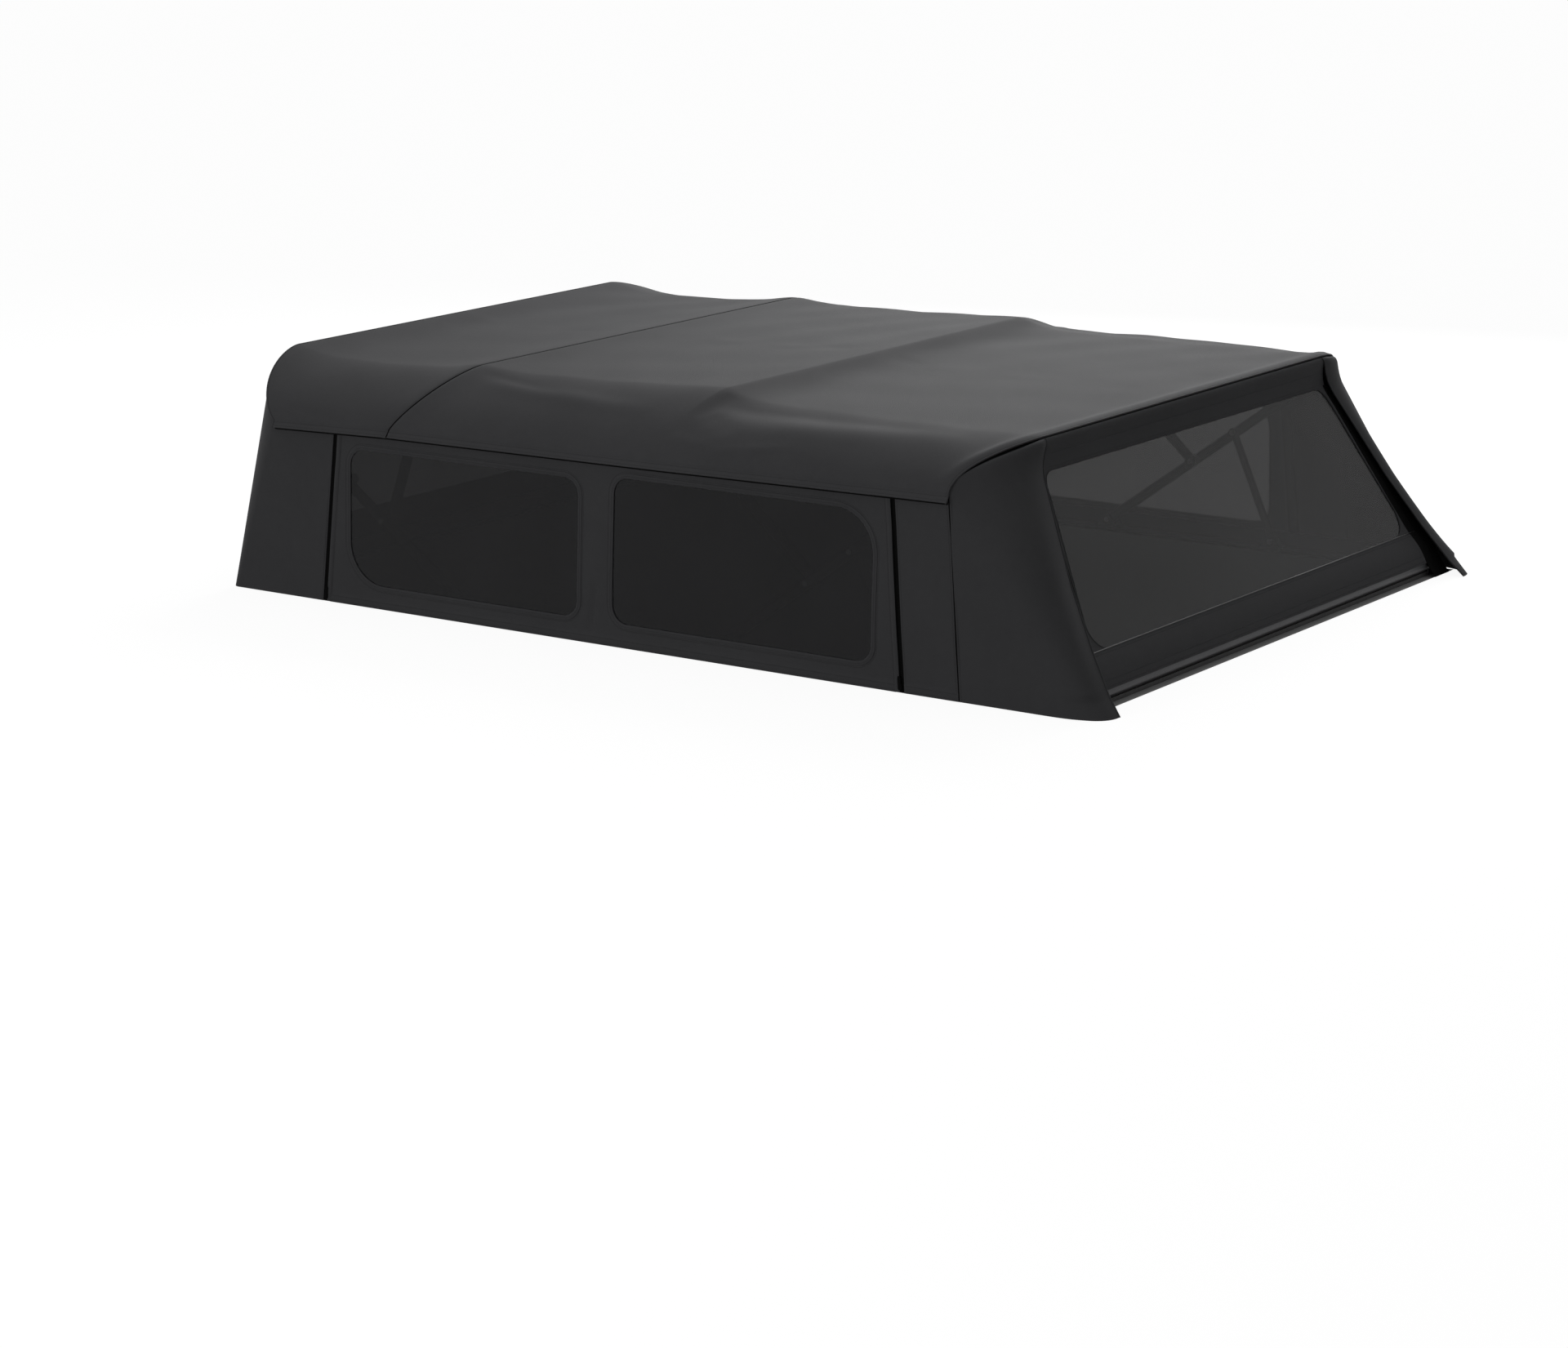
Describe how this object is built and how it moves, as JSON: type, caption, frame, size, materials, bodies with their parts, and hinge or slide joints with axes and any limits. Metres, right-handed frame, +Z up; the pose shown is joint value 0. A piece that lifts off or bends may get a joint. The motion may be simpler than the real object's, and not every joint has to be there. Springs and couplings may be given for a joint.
{
  "type": "soft folding pickup truck canopy",
  "caption": "Fabric canopy for a long pickup bed: a deck over bent tube bows, side curtains and a rear curtain with tinted vinyl windows, and belt rails that stand on the bed walls.",
  "frame": {"origin": "centre of the footprint, on the level of the top of the bed walls, where the belt rails rest", "axes": "+X forward, towards the cab; +Y to the left; +Z up"},
  "size_m": [2.4155, 1.852, 0.5712],
  "materials": {
    "deck_twill": "matt coated twill",
    "wall_twill": "matt coated twill",
    "window_vinyl": "dark tinted clear vinyl",
    "frame_steel": "satin black powder coat",
    "rail_aluminium": "black anodised aluminium",
    "pin_steel": "zinc plated",
    "zip_tape": "black moulded zip",
    "seal_rubber": "matt"
  },
  "bodies": {
    "root": {"belt_rail_left": "rail_aluminium", "belt_rail_right": "rail_aluminium", "front_rail": "rail_aluminium", "tailgate_bar": "rail_aluminium", "tailgate_seal": "seal_rubber", "bar_bracket_left": "frame_steel", "bar_bracket_right": "frame_steel", "pivot_brackets_left": "frame_steel", "pivot_brackets_right": "frame_steel", "front_bow": "frame_steel", "second_bow": "frame_steel", "third_bow": "frame_steel", "rear_bow": "frame_steel", "front_prop_left": "frame_steel", "front_prop_right": "frame_steel", "rear_prop_left": "frame_steel", "rear_prop_right": "frame_steel", "pivot_pins_left": "pin_steel", "pivot_pins_right": "pin_steel", "deck_front": "deck_twill", "deck_rear": "deck_twill", "front_panel": "wall_twill", "front_window": "window_vinyl", "front_corner_left": "wall_twill", "front_corner_right": "wall_twill", "side_curtain_left": "wall_twill", "side_curtain_right": "wall_twill", "side_window_front_left": "window_vinyl", "side_window_rear_left": "window_vinyl", "side_window_front_right": "window_vinyl", "side_window_rear_right": "window_vinyl", "side_zips_left": "zip_tape", "side_zips_right": "zip_tape", "rear_quarter_left": "wall_twill", "rear_quarter_right": "wall_twill", "rear_corner_left": "wall_twill", "rear_corner_right": "wall_twill", "rear_curtain": "wall_twill", "rear_window": "window_vinyl", "rear_zips": "zip_tape"}
  },
  "joints": []
}
